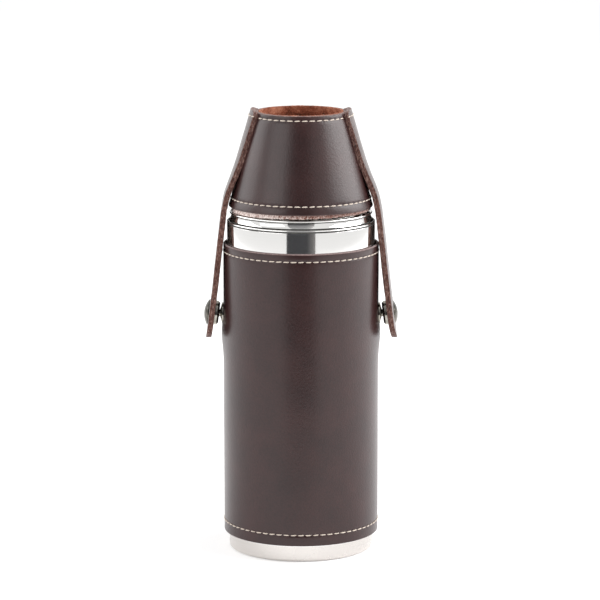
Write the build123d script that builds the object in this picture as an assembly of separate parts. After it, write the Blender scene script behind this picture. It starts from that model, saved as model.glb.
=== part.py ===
from build123d import *
import os
from math import asin, atan2, cos, degrees, floor, pi, radians, sin, sqrt, tan

# A round steel flask in a stitched leather sleeve. Four nested cups stand upside down over its
# screw cap, under an open-topped leather cover whose two straps snap onto the sleeve.
# Millimetres, +Z up, origin at the centre of the foot. The straps are on +X and -X, and the
# leather's seams are at the back, on +Y.

# Steel body
can_r = 30.2              # outer radius of the drawn can
can_wall = 0.6
foot_h = 7.0              # bare steel under the sleeve
sleeve_h = 120.0          # length of the leather sleeve
collar_h = 8.6            # bare steel between the sleeve and the bead
foot_ring_w = 2.2         # width of the flat ring that the flask stands on
foot_bend_r = 1.1         # outer bend from the foot's wall to its ring
foot_recess = 2.6         # rise of the pressed bottom above the table
base_lap = 5.0            # how far the base cup reaches into the can
bead_d = 0.9              # rolled bead over the can's rim
flank_h = 3.6             # height of the hollow-ground flank above the bead
ledge_inset = 1.9         # from the can's wall in to the ledge at the top of the flank
ledge_bend_r = 0.4
shoulder_wall = 0.8
shoulder_skirt = 6.0      # how far the shoulder reaches down inside the can

# Neck and screw cap
neck_r = 10.5
neck_wall = 1.0
neck_h = 11.7             # height of the lip above the ledge
thread_pitch = 3.0
thread_turns = 2.0
thread_depth = 0.8
thread_root_w = 1.3
thread_crest_w = 0.6
thread_rise = 3.2         # start of the neck's thread above the ledge
thread_clear = 0.35       # radial gap from the neck's crest to the cap's bore
thread_bite = 0.1         # how far a thread's root is sunk in its wall
cap_wall = 1.9
cap_top = 1.2
cap_floor_gap = 1.3       # gap from the ledge to the cap's skirt
cap_flutes = 36
cap_flute_r = 0.7
cap_edge = 0.6
liner_t = 1.5
liner_play = 0.2

# Nested cups, upside down
cup_count = 4
cup_wall = 0.5
cup_h = 26.0
cup_seat_gap = 0.2        # lowest rim above the ledge
cup_pitch = 2.4           # step from one rim to the next
cup_rim_bead = 0.4        # radius of the rolled rim
cup_bend_r = 2.0          # bend from the wall to the cup's bottom
cup_cover_gap = 0.4       # gap from the outer cup's rim to the cover's lining

# Leather sleeve
sleeve_leather = 1.2
sleeve_lining = 0.4
seam_gap = 0.3            # butt seam at the back

# Leather cover
cover_inset = 0.65        # from the can's wall in to the cover's lower edge
cover_top_r = 18.85
cover_gap = 2.1           # from the ledge to the cover's leather
cover_h = 38.7
cover_leather = 1.6
cover_lining = 0.6
lining_gap = 0.2          # from the ledge to the lining's raw edge

# Straps
strap_w = 16.0
strap_ply = 0.9
strap_over = 1.0          # how far a strap's end stands above the cover's rim
strap_corner_r = 2.5
bend_up = 4.8             # height of the strap's bend above the cover's lower edge
bend_gap = 0.3            # gap between a strap's two stretches
strap_clear = 0.3         # least gap from a hanging strap to the cover and the sleeve
strap_tilt = 7.0          # lean of the hanging stretch, in degrees
tail_len = 59.4           # from the bend to the strap's round end

# Snap fasteners
snap_end = 10.0           # from the strap's end to the fastener's centre
snap_cap_r = 5.15
snap_cap_h = 2.3
snap_cap_edge = 0.7
snap_rivet_r = 1.5
socket_r = 5.0
socket_h = 2.2
socket_web = 0.6
socket_edge = 0.8
stud_flange_r = 4.4
stud_flange_h = 0.6
stud_neck_r = 1.5
stud_head_r = 1.9
stud_head_h = 1.0
stud_play = 0.5           # radial gap from the stud's head to the socket
stud_tip_gap = 0.45       # gap from the stud's tip to the socket's web
post_r = 1.0
post_flange_r = 4.0

# Thread
stitch_pitch = 3.0
stitch_len = 2.05
stitch_w = 0.7
stitch_h = 0.25
sleeve_row_top = 3.1      # from the sleeve's top edge down to its row
sleeve_row_bottom = 4.6
cover_row_top = 1.9
cover_row_bottom = 3.5
seam_row = 2.4            # from the back seam to each of its rows

# Heights
sleeve_top = foot_h + sleeve_h
can_top = sleeve_top + collar_h
flank_z = can_top + bead_d
ledge_z = flank_z + flank_h
cover_z = ledge_z + cover_gap
cover_top = cover_z + cover_h
lip_z = ledge_z + neck_h
cap_z = ledge_z + cap_floor_gap
cap_ceiling = lip_z + liner_t

# Radii
bore_r = can_r - can_wall
ledge_r = can_r - ledge_inset
cover_bottom_r = can_r - cover_inset
lining_r = can_r + sleeve_lining
sleeve_r = lining_r + sleeve_leather
crest_r = neck_r + thread_depth
cap_bore_r = crest_r + thread_clear
cap_r = cap_bore_r + cap_wall

# The cover's cone, which the cups share
slope = (cover_bottom_r - cover_top_r) / cover_h
cone_cos = 1 / sqrt(1 + slope**2)
cone_deg = degrees(atan2(slope, 1))
cup_z = ledge_z + cup_seat_gap
cup_top_z = cup_z + (cup_count - 1) * cup_pitch
cover_in_r = cover_bottom_r - (cover_leather + cover_lining) / cone_cos
cup_r = cover_in_r - (cup_top_z - cover_z) * slope - cup_cover_gap - cup_rim_bead

# Straps
strap_t = 2 * strap_ply
tilt = radians(strap_tilt)
bend_z = cover_z + bend_up
past_cover_r = cover_bottom_r - bend_up * tan(tilt)
past_sleeve_r = sleeve_r - (bend_z - sleeve_top) * tan(tilt)
bend_r = max(past_cover_r, past_sleeve_r) + strap_clear + strap_t / cos(tilt)
strap_plane = Plane(
    origin=(bend_r, 0, bend_z), x_dir=(0, 1, 0), z_dir=(cos(tilt), 0, sin(tilt))
)
snap_drop = tail_len - snap_end
snap_plane = Plane(
    origin=strap_plane.from_local_coords(Vector(0, -snap_drop, 0)),
    x_dir=(0, 1, 0),
    z_dir=strap_plane.z_dir,
)
back_snap_plane = snap_plane.offset(-strap_t)
stud_z = back_snap_plane.offset(-(socket_web + socket_h) / 2).origin.Z

parts = {}


def cone_r(z):
    """Radius of the cover's outer face at a height."""
    return cover_bottom_r - (z - cover_z) * slope


def spun(*edges):
    """A solid turned about Z from a closed outline drawn as radius and height."""
    return revolve(Plane.XZ * make_face(Wire(list(edges))), axis=Axis.Z)


def polygon(*points):
    """The straight edges that join points in order and close the outline."""
    return [Line(a, b) for a, b in zip(points, points[1:] + points[:1])]


def path(*points):
    return [Line(a, b) for a, b in zip(points, points[1:])]


def tube(outer_r, inner_r, low_z, high_z):
    return spun(*polygon((inner_r, low_z), (outer_r, low_z), (outer_r, high_z), (inner_r, high_z)))


def cone_shell(gap, thickness, low_z, high_z):
    """A layer that lies on the cover's cone, a distance outside it, cut off level."""
    out_r = (gap + thickness) / cone_cos
    in_r = gap / cone_cos
    return spun(
        *polygon(
            (cone_r(low_z) + in_r, low_z),
            (cone_r(low_z) + out_r, low_z),
            (cone_r(high_z) + out_r, high_z),
            (cone_r(high_z) + in_r, high_z),
        )
    )


def back_slot(low_z, high_z):
    """The gap of the butt seam at the back."""
    height = high_z - low_z
    return Pos(0, can_r, low_z + height / 2) * Box(seam_gap, 2 * can_r, height)


def mirrored(shape):
    return mirror(shape, about=Plane.YZ)


def make_steel():
    parts["flask_can"] = tube(can_r, bore_r, foot_h - can_wall, can_top)

    ring_out = bore_r - foot_bend_r
    ring_in = ring_out - foot_ring_w
    wall_in = bore_r - can_wall
    top = foot_h + base_lap
    bend = RadiusArc((ring_out, 0), (bore_r, foot_bend_r), -foot_bend_r)
    parts["flask_base"] = spun(
        *path(
            (bore_r, foot_bend_r), (bore_r, top), (wall_in, top), (wall_in, foot_bend_r),
            (ring_out, can_wall), (ring_in, can_wall), (ring_in, foot_recess + can_wall),
            (0, foot_recess + can_wall), (0, foot_recess), (ring_in - can_wall, foot_recess),
            (ring_in - can_wall, 0), (ring_out, 0),
        ),
        bend,
    )


def make_shoulder():
    low = can_top - shoulder_skirt
    skirt_in = bore_r - shoulder_wall
    under = ledge_z - shoulder_wall
    bead_r = bead_d / 2
    bead_in = can_r - bead_r
    flank_in = bead_in - bead_r / 2
    bead = ThreePointArc((bead_in, can_top), (can_r, can_top + bead_r), (bead_in, flank_z))
    hollow = ThreePointArc(
        (flank_in, flank_z),
        ((flank_in + ledge_r) / 2 - flank_h / 8, flank_z + flank_h * 0.4),
        (ledge_r, ledge_z - ledge_bend_r),
    )
    bend = ThreePointArc(
        (ledge_r, ledge_z - ledge_bend_r),
        (ledge_r - ledge_bend_r * (1 - cos(pi / 4)), ledge_z - ledge_bend_r * (1 - sin(pi / 4))),
        (ledge_r - ledge_bend_r, ledge_z),
    )
    parts["flask_shoulder"] = spun(
        *path((skirt_in, low), (bore_r, low), (bore_r, can_top), (bead_in, can_top)),
        bead,
        Line((bead_in, flank_z), (flank_in, flank_z)),
        hollow,
        bend,
        *path(
            (ledge_r - ledge_bend_r, ledge_z), (neck_r, ledge_z), (neck_r, under),
            (ledge_r - 2 * shoulder_wall, under), (skirt_in, flank_z - bead_r), (skirt_in, low),
        ),
    )


def screw_thread(root_r, outward, start_z):
    """A trapezoid ridge wound up a helix, its root sunk a little into the wall."""
    tip_r = root_r + outward * thread_depth
    sunk_r = root_r - outward * thread_bite
    half_root = thread_root_w / 2
    half_crest = thread_crest_w / 2
    outline = make_face(
        Wire(
            polygon(
                (sunk_r, -half_root), (tip_r, -half_crest), (tip_r, half_crest), (sunk_r, half_root)
            )
        )
    )
    helix = Helix(thread_pitch, thread_pitch * thread_turns, root_r)
    ridge = sweep(Plane.XZ * outline, path=helix, is_frenet=True)
    return Pos(0, 0, start_z) * ridge


def make_neck_and_cap():
    neck = tube(neck_r, neck_r - neck_wall, ledge_z - shoulder_wall, lip_z)
    thread_z = ledge_z + thread_rise
    parts["flask_neck"] = neck + screw_thread(neck_r, 1, thread_z)

    flute_place = PolarLocations(cap_r + cap_flute_r / 3, cap_flutes)
    outline = Circle(cap_r) - flute_place * Circle(cap_flute_r)
    height = cap_ceiling + cap_top - cap_z
    body = Pos(0, 0, cap_z) * extrude(outline, height)
    crown_z = cap_z + height
    bevelled = spun(
        *polygon(
            (0, cap_z), (cap_r, cap_z), (cap_r, crown_z - cap_edge), (cap_r - cap_edge, crown_z),
            (0, crown_z),
        )
    )
    bore = Pos(0, 0, cap_z) * extrude(Circle(cap_bore_r), cap_ceiling - cap_z)
    shell = (body & bevelled) - bore
    inner = screw_thread(cap_bore_r, -1, thread_z - thread_pitch / 2)
    parts["screw_cap"] = shell + inner
    parts["cap_liner"] = tube(cap_bore_r - thread_depth - liner_play, 0, lip_z, cap_ceiling)


def make_cups():
    """One pressed cup, upside down, and its copies one rim step apart."""
    out_t = cup_wall / cone_cos
    floor_r = cup_r - cup_h * slope
    low = cup_z + cup_rim_bead
    high = cup_z + cup_h
    wall = spun(
        *polygon(
            (cup_r - cup_rim_bead * slope, low), (floor_r, high), (0, high),
            (0, high - cup_wall), (floor_r - out_t + cup_wall * slope, high - cup_wall),
            (cup_r - cup_rim_bead * slope - out_t, low),
        )
    )
    outer_edge = wall.edges().sort_by(Axis.Z)[-1]
    wall = fillet(outer_edge, cup_bend_r)
    bead = revolve(Plane.XZ * Pos(cup_r, low) * Circle(cup_rim_bead), axis=Axis.Z)
    cup = wall + bead
    for i in range(cup_count):
        parts[f"cup_{i + 1}"] = Pos(0, 0, i * cup_pitch) * cup


def snap_bore(radius):
    """A round hole through the sleeve on both sides, at the height of the snaps."""
    return Pos(0, 0, stud_z) * Rot(0, 90, 0) * Cylinder(radius, 4 * can_r)


def make_sleeve():
    lining = tube(lining_r, can_r, foot_h, sleeve_top)
    leather = tube(sleeve_r, lining_r, foot_h, sleeve_top) - back_slot(foot_h, sleeve_top)
    parts["sleeve_lining"] = lining - snap_bore(post_flange_r)
    parts["sleeve_leather"] = leather - snap_bore(post_r)


def make_cover():
    layer = cover_leather + cover_lining
    leather = cone_shell(-cover_leather, cover_leather, cover_z, cover_top)
    lining = cone_shell(-layer, cover_lining, ledge_z + lining_gap, cover_top)
    parts["cover_leather"] = leather - back_slot(cover_z, cover_top)
    parts["cover_lining"] = lining


def strap_outline(length):
    """The hanging stretch, seen square on: straight sides and a round end."""
    half = strap_w / 2
    straight = length - half
    return make_face(
        Wire(
            [
                Line((-half, -straight), (-half, 0)),
                Line((-half, 0), (half, 0)),
                Line((half, 0), (half, -straight)),
                ThreePointArc((half, -straight), (0, -length), (-half, -straight)),
            ]
        )
    )


def make_straps():
    """Each strap is two plies, sewn to the cover and then hanging free of it."""
    low = bend_z + bend_gap
    high = cover_top + strap_over
    mid_z = (low + high) / 2
    window = Pos(can_r, 0, mid_z) * Box(2 * can_r, strap_w, high - low)
    corners = window.edges().filter_by(Axis.X).group_by(Axis.Z)[-1]
    window = fillet(corners, strap_corner_r)
    rivet_hole = Pos(0, -snap_drop) * Circle(snap_rivet_r)
    for ply, depth in (("face", 0), ("backing", strap_ply)):
        gap = strap_t - strap_ply - depth
        sewn = cone_shell(gap, strap_ply, low, high) & window
        outline = strap_plane.offset(-depth) * (strap_outline(tail_len) - rivet_hole)
        tail = extrude(outline, -strap_ply)
        for side, place in (("right", lambda s: s), ("left", mirrored)):
            parts[f"strap_{side}_sewn_{ply}"] = place(sewn)
            parts[f"strap_{side}_tail_{ply}"] = place(tail)


def make_snaps():
    rise = snap_cap_h - snap_cap_edge
    dome_r = (snap_cap_r**2 + rise**2) / (2 * rise)
    half = asin(snap_cap_r / dome_r) / 2
    dome_mid = (dome_r * sin(half), snap_cap_h - dome_r * (1 - cos(half)))
    cap = spun(
        *path(
            (0, snap_cap_h), (0, -strap_t), (snap_rivet_r, -strap_t), (snap_rivet_r, 0),
            (snap_cap_r, 0), (snap_cap_r, snap_cap_edge),
        ),
        ThreePointArc((snap_cap_r, snap_cap_edge), dome_mid, (0, snap_cap_h)),
    )
    hole_r = stud_head_r + stud_play
    socket = spun(
        *polygon(
            (0, 0), (0, -socket_web), (hole_r, -socket_web), (hole_r, -socket_h),
            (socket_r - socket_edge, -socket_h), (socket_r, -socket_h + socket_edge), (socket_r, 0),
        )
    )
    cap = snap_plane.location * cap
    socket = back_snap_plane.location * socket

    web_x = back_snap_plane.origin.X - (socket_web + stud_head_r * sin(tilt)) / cos(tilt)
    tip = web_x - stud_tip_gap - sleeve_r
    stud = spun(
        *polygon(
            (post_r, 0), (stud_flange_r, 0), (stud_flange_r, stud_flange_h),
            (stud_neck_r, stud_flange_h + stud_neck_r / 2), (stud_neck_r, tip - stud_head_h),
            (stud_head_r, tip - stud_head_h / 2), (stud_head_r - stud_head_h / 3, tip), (0, tip),
            (0, stud_flange_h), (post_r, stud_flange_h),
        )
    )
    out = Plane(origin=(sleeve_r, 0, stud_z), x_dir=(0, 1, 0), z_dir=(1, 0, 0))
    stud = out.location * stud
    shank_len = sleeve_r + stud_flange_h - can_r
    shank = Plane(origin=(can_r, 0, stud_z), z_dir=(1, 0, 0)) * Circle(post_r)
    plate = tube(lining_r, can_r, stud_z - post_flange_r, stud_z + post_flange_r)
    disc = Plane(origin=(0, 0, stud_z), z_dir=(1, 0, 0)) * Circle(post_flange_r)
    post = (plate & extrude(disc, 2 * can_r)) + extrude(shank, shank_len)

    for side, place in (("right", lambda s: s), ("left", mirrored)):
        parts[f"snap_{side}_cap"] = place(cap)
        parts[f"snap_{side}_socket"] = place(socket)
        parts[f"snap_{side}_stud"] = place(stud)
        parts[f"snap_{side}_post"] = place(post)


def ring_of_stitches(z, surface_r, lift_at=lambda angle: 0.0, lean=0.0):
    """Equal stitches round a level row. Each is a short arc that lies on the leather."""
    count = 2 * round(pi * surface_r / stitch_pitch)
    sweep_deg = degrees(stitch_len / surface_r)
    stitches = []
    for i in range(count):
        angle = (i + 0.5) * 360 / count
        foot_r = surface_r + lift_at(angle)
        section = Rectangle(stitch_h, stitch_w, align=(Align.MIN, Align.CENTER))
        placed = Plane.XZ * Pos(foot_r, z) * Rot(0, 0, lean) * section
        arc = revolve(placed, axis=Axis.Z, revolution_arc=sweep_deg)
        stitches.append(Rot(0, 0, angle - sweep_deg / 2) * arc)
    return Compound(children=[s.solid() for s in stitches])


def seam_stitches(low_z, high_z, radius_at, lean):
    """Two upright rows beside the back seam."""
    count = floor((high_z - low_z) / stitch_pitch)
    step = (high_z - low_z) / count
    stitches = []
    for i in range(count):
        z = low_z + (i + 0.5) * step
        for x in (-seam_row, seam_row):
            foot = sqrt(radius_at(z) ** 2 - (seam_row - stitch_w / 2) ** 2)
            centred = (Align.CENTER, Align.MIN, Align.CENTER)
            stitch = Box(stitch_w, stitch_h, stitch_len, align=centred)
            stitches.append(Pos(x, foot, z) * Rot(lean, 0, 0) * stitch)
    return Compound(children=[s.solid() for s in stitches])


def make_stitches():
    parts["sleeve_stitches_top"] = ring_of_stitches(sleeve_top - sleeve_row_top, sleeve_r)
    parts["sleeve_stitches_bottom"] = ring_of_stitches(foot_h + sleeve_row_bottom, sleeve_r)
    parts["sleeve_stitches_seam"] = seam_stitches(
        foot_h + sleeve_row_bottom + stitch_pitch,
        sleeve_top - sleeve_row_top - stitch_pitch,
        lambda z: sleeve_r,
        0,
    )

    top_z = cover_top - cover_row_top
    low_z = cover_z + cover_row_bottom
    strap_lift = strap_t / cone_cos

    def over_strap(angle):
        across = abs(cone_r(top_z) * sin(radians(angle)))
        return strap_lift if across < strap_w / 2 + stitch_len / 2 else 0.0

    parts["cover_stitches_top"] = ring_of_stitches(top_z, cone_r(top_z), over_strap, cone_deg)
    parts["cover_stitches_bottom"] = ring_of_stitches(low_z, cone_r(low_z), lean=cone_deg)
    parts["cover_stitches_seam"] = seam_stitches(
        low_z + stitch_pitch, top_z - stitch_pitch, cone_r, cone_deg
    )


make_steel()
make_shoulder()
make_neck_and_cap()
make_cups()
make_sleeve()
make_cover()
make_straps()
make_snaps()
make_stitches()

os.makedirs("parts", exist_ok=True)
for name, shape in parts.items():
    export_step(shape, f"parts/{name}.step")
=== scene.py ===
import bisect
import math
import random

import bpy
from mathutils import Matrix, Vector, noise


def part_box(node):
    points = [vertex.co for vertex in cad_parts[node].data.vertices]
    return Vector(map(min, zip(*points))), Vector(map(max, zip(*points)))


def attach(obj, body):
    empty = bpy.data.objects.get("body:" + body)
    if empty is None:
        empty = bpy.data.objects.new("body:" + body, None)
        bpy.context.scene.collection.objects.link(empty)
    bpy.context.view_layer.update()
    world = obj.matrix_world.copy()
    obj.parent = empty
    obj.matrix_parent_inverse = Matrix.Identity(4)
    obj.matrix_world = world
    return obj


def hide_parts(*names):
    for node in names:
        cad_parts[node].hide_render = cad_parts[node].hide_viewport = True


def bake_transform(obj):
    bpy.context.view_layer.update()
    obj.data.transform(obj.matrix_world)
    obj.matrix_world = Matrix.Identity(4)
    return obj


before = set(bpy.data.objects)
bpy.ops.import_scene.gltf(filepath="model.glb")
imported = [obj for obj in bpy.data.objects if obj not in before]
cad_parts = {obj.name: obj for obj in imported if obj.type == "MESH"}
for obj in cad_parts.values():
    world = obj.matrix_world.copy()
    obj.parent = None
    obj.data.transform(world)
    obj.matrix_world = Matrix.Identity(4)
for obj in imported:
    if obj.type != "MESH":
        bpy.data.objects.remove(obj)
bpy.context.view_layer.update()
mm = 0.001
axisGap = 0.02 * mm        # a turned disc stops this far short of its axis
layerGap = 0.02 * mm       # between one layer of leather or lining and the next
outerSkin = 0.6 * mm       # only points this near a hide's outer face are moved
random.seed(7)


def colour(hexCode):
    # sRGB hex to the linear values that Blender works in
    channels = [int(hexCode[i:i + 2], 16) / 255 for i in (1, 3, 5)]
    linear = [c / 12.92 if c <= 0.04045 else ((c + 0.055) / 1.055) ** 2.4 for c in channels]
    return (*linear, 1.0)


def addNode(material, kind, settings=None, values=None, links=None):
    node = material.node_tree.nodes.new(kind)
    for name, value in (settings or {}).items():
        setattr(node, name, value)
    for name, value in (values or {}).items():
        node.inputs[name].default_value = value
    for name, socket in (links or {}).items():
        material.node_tree.links.new(socket, node.inputs[name])
    return node


def newMaterial(name, **values):
    material = bpy.data.materials.new(name)
    material.use_nodes = True
    shader = material.node_tree.nodes["Principled BSDF"]
    for key, value in values.items():
        shader.inputs[key.replace("_", " ")].default_value = value
    return material, shader


def connect(material, socket, shader, name):
    material.node_tree.links.new(socket, shader.inputs[name])


def ramp(material, factor, *stops):
    node = addNode(material, "ShaderNodeValToRGB", links={"Fac": factor})
    bar = node.color_ramp
    bar.elements[0].position, bar.elements[0].color = stops[0]
    bar.elements[1].position, bar.elements[1].color = stops[-1]
    for place, tint in stops[1:-1]:
        bar.elements.new(place).color = tint
    return node.outputs["Color"]


def grey(level):
    return (level, level, level, 1.0)


def objectCoords(material):
    return addNode(material, "ShaderNodeTexCoord").outputs["Object"]


def makeLeather(name, dark, light, grainDepth, scuff=0.0):
    # corrected-grain cowhide with a sprayed semi-matt finish: a fine even pebble, soft wide highlights
    look = {"pebble": 0.75 * mm, "crease": 0.22 * mm, "mottle": 14 * mm}
    leather, shader = newMaterial(name)
    shader.inputs["Specular IOR Level"].default_value = 0.42
    shader.inputs["Sheen Weight"].default_value = scuff
    shader.inputs["Sheen Roughness"].default_value = 0.4
    shader.inputs["Coat Weight"].default_value = 0.12
    shader.inputs["Coat Roughness"].default_value = 0.24
    coords = objectCoords(leather)
    pebble = addNode(leather, "ShaderNodeTexVoronoi", {"feature": "SMOOTH_F1"},
                     {"Scale": 1 / look["pebble"], "Smoothness": 0.7, "Randomness": 1.0}, {"Vector": coords})
    crease = addNode(leather, "ShaderNodeTexNoise", None,
                     {"Scale": 1 / look["crease"], "Detail": 3.0, "Roughness": 0.6}, {"Vector": coords})
    mottle = addNode(leather, "ShaderNodeTexNoise", None,
                     {"Scale": 1 / look["mottle"], "Detail": 4.0, "Roughness": 0.62}, {"Vector": coords})
    tint = ramp(leather, mottle.outputs["Fac"], (0.32, dark), (0.72, light))
    pits = ramp(leather, pebble.outputs["Distance"], (0.25, grey(1.0)), (0.85, grey(0.66)))
    shade = addNode(leather, "ShaderNodeMix", {"data_type": "RGBA", "blend_type": "MULTIPLY"},
                    {"Factor": 0.6}, {"A": tint, "B": pits})
    connect(leather, shade.outputs["Result"], shader, "Base Color")
    gloss = ramp(leather, crease.outputs["Fac"], (0.3, grey(0.27)), (0.75, grey(0.41)))
    connect(leather, gloss, shader, "Roughness")
    grain = addNode(leather, "ShaderNodeBump", None, {"Strength": 0.55, "Distance": grainDepth},
                    {"Height": pebble.outputs["Distance"]})
    fine = addNode(leather, "ShaderNodeBump", None, {"Strength": 0.35, "Distance": grainDepth * 0.5},
                   {"Height": crease.outputs["Fac"], "Normal": grain.outputs["Normal"]})
    connect(leather, fine.outputs["Normal"], shader, "Normal")
    return leather


def makeSuede():
    # split hide, brushed to a nap: dull orange-brown, paler where it stands up, with painted shade that
    # darkens it deeper inside the cover
    look = {"nap": 0.45 * mm, "patch": 5 * mm, "unshadedAbove": 1 * mm, "fullShadeBelow": 9 * mm}
    suede, shader = newMaterial("napped_suede_split", Roughness=0.95)
    shader.inputs["Specular IOR Level"].default_value = 0.2
    shader.inputs["Sheen Weight"].default_value = 0.35
    shader.inputs["Sheen Roughness"].default_value = 0.5
    shader.inputs["Sheen Tint"].default_value = colour("#e0a080")
    coords = objectCoords(suede)
    nap = addNode(suede, "ShaderNodeTexNoise", None,
                  {"Scale": 1 / look["nap"], "Detail": 5.0, "Roughness": 0.7}, {"Vector": coords})
    patch = addNode(suede, "ShaderNodeTexNoise", None,
                    {"Scale": 1 / look["patch"], "Detail": 3.0, "Roughness": 0.6, "Distortion": 0.6},
                    {"Vector": coords})
    both = addNode(suede, "ShaderNodeMix", {"data_type": "FLOAT"}, {"Factor": 0.45},
                   {"A": nap.outputs["Fac"], "B": patch.outputs["Fac"]})
    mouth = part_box("cover_lining")[1][2]
    high = addNode(suede, "ShaderNodeSeparateXYZ", links={"Vector": coords}).outputs["Z"]
    # painted shade: the nap is darkened with depth below the cover's mouth
    depthShade = addNode(suede, "ShaderNodeMapRange", None,
                     {"From Min": mouth - look["unshadedAbove"], "From Max": mouth - look["fullShadeBelow"],
                      "To Min": 0.0, "To Max": -0.16},
                     {"Value": high})
    napAndDepthShade = addNode(suede, "ShaderNodeMath", {"operation": "ADD"}, None,
                      {0: both.outputs["Result"], 1: depthShade.outputs["Result"]})
    tint = ramp(suede, napAndDepthShade.outputs["Value"], (0.34, colour("#3c1c0e")), (0.47, colour("#7f412d")),
                (0.64, colour("#bd8066")))
    connect(suede, tint, shader, "Base Color")
    bump = addNode(suede, "ShaderNodeBump", None, {"Strength": 0.8, "Distance": 0.25 * mm},
                   {"Height": nap.outputs["Fac"]})
    connect(suede, bump.outputs["Normal"], shader, "Normal")
    return suede


def makeCutEdge(name, deep, middle, pale, leftHighlight=0.0):
    # leather cut through and left raw: fibres in rough, short strands, with a painted highlight that makes it
    # paler towards -X
    look = {"fibre": 0.6 * mm, "stretch": (1.0, 1.0, 0.45), "highlightFrom": 5 * mm, "highlightFullAt": -12 * mm}
    edge, shader = newMaterial(name, Roughness=0.85)
    shader.inputs["Specular IOR Level"].default_value = 0.3
    shader.inputs["Sheen Weight"].default_value = 0.25
    coords = objectCoords(edge)
    stretched = addNode(edge, "ShaderNodeMapping", None, {"Scale": look["stretch"]}, {"Vector": coords})
    fibre = addNode(edge, "ShaderNodeTexNoise", None,
                    {"Scale": 1 / look["fibre"], "Detail": 4.0, "Roughness": 0.75, "Distortion": 0.8},
                    {"Vector": stretched.outputs["Vector"]})
    # painted highlight: the edge is made paler towards -X
    sideways = addNode(edge, "ShaderNodeSeparateXYZ", links={"Vector": coords}).outputs["X"]
    highlightLift = addNode(edge, "ShaderNodeMapRange", None,
                   {"From Min": look["highlightFrom"], "From Max": look["highlightFullAt"],
                    "To Min": 0.0, "To Max": leftHighlight}, {"Value": sideways})
    fibreAndHighlight = addNode(edge, "ShaderNodeMath", {"operation": "ADD"}, None,
                    {0: fibre.outputs["Fac"], 1: highlightLift.outputs["Result"]})
    tint = ramp(edge, fibreAndHighlight.outputs["Value"], (0.32, deep), (0.5, middle), (0.7, pale))
    connect(edge, tint, shader, "Base Color")
    bump = addNode(edge, "ShaderNodeBump", None, {"Strength": 0.9, "Distance": 0.3 * mm},
                   {"Height": fibre.outputs["Fac"]})
    connect(edge, bump.outputs["Normal"], shader, "Normal")
    return edge


def makeThread():
    # waxed two-ply linen thread: cream, slanting twist, painted shade in the hollows
    thread, shader = newMaterial("waxed_linen_thread", Roughness=0.6)
    shader.inputs["Sheen Weight"].default_value = 0.15
    uv = addNode(thread, "ShaderNodeTexCoord").outputs["UV"]
    slant = addNode(thread, "ShaderNodeMapping", None, {"Rotation": (0, 0, math.radians(35))}, {"Vector": uv})
    twist = addNode(thread, "ShaderNodeTexWave", None,
                    {"Scale": 2.4, "Distortion": 1.2, "Detail": 2.0}, {"Vector": slant.outputs["Vector"]})
    tint = ramp(thread, twist.outputs["Fac"], (0.05, colour("#8e7866")), (0.6, colour("#e9dccf")))
    connect(thread, tint, shader, "Base Color")
    bump = addNode(thread, "ShaderNodeBump", None, {"Strength": 0.6, "Distance": 0.08 * mm},
                   {"Height": twist.outputs["Fac"]})
    connect(thread, bump.outputs["Normal"], shader, "Normal")
    return thread


def makeSteel(name, tint, rough, lineDepth):
    # stainless steel turned and buffed: fine rings from the lathe, hardly any haze
    look = {"ring": 0.12 * mm, "roundTheAxis": (0.002, 0.002, 1.0), "haze": 9 * mm}
    steel, shader = newMaterial(name, Metallic=1.0, Roughness=rough)
    coords = objectCoords(steel)
    rings = addNode(steel, "ShaderNodeMapping", None, {"Scale": look["roundTheAxis"]}, {"Vector": coords})
    lines = addNode(steel, "ShaderNodeTexNoise", None,
                    {"Scale": 1 / look["ring"], "Detail": 3.0, "Roughness": 0.6},
                    {"Vector": rings.outputs["Vector"]})
    haze = addNode(steel, "ShaderNodeTexNoise", None,
                   {"Scale": 1 / look["haze"], "Detail": 3.0, "Roughness": 0.55}, {"Vector": coords})
    gloss = ramp(steel, haze.outputs["Fac"], (0.3, grey(rough * 0.88)), (0.75, grey(rough * 1.15)))
    connect(steel, gloss, shader, "Roughness")
    shine = ramp(steel, lines.outputs["Fac"], (0.2, tint), (0.8, tuple(c * 0.94 for c in tint[:3]) + (1.0,)))
    connect(steel, shine, shader, "Base Color")
    bump = addNode(steel, "ShaderNodeBump", None, {"Strength": 0.2, "Distance": lineDepth},
                   {"Height": lines.outputs["Fac"]})
    connect(steel, bump.outputs["Normal"], shader, "Normal")
    return steel


def makePressing(name, dark, light):
    # pressed brass, plated: warm grey, slightly cloudy where fingers have worn the plating
    cloud = 2.5 * mm
    pressing, shader = newMaterial(name, Metallic=1.0)
    wear = addNode(pressing, "ShaderNodeTexNoise", None,
                   {"Scale": 1 / cloud, "Detail": 3.0, "Roughness": 0.55}, {"Vector": objectCoords(pressing)})
    tint = ramp(pressing, wear.outputs["Fac"], (0.35, dark), (0.7, light))
    connect(pressing, tint, shader, "Base Color")
    gloss = ramp(pressing, wear.outputs["Fac"], (0.3, grey(0.12)), (0.75, grey(0.24)))
    connect(pressing, gloss, shader, "Roughness")
    bump = addNode(pressing, "ShaderNodeBump", None, {"Strength": 0.05, "Distance": 0.01 * mm},
                   {"Height": wear.outputs["Fac"]})
    connect(pressing, bump.outputs["Normal"], shader, "Normal")
    return pressing


def makeGrooveShade():
    # painted shade for the steel's grooves and crevices: nearly black and dull, faintly mottled
    mottle = 1.2 * mm
    grooveShade, shader = newMaterial("painted_groove_shade", Roughness=0.6)
    cloud = addNode(grooveShade, "ShaderNodeTexNoise", None,
                    {"Scale": 1 / mottle, "Detail": 3.0}, {"Vector": objectCoords(grooveShade)})
    tint = ramp(grooveShade, cloud.outputs["Fac"], (0.3, colour("#1d1c1b")), (0.7, colour("#4a4843")))
    connect(grooveShade, tint, shader, "Base Color")
    return grooveShade


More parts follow.
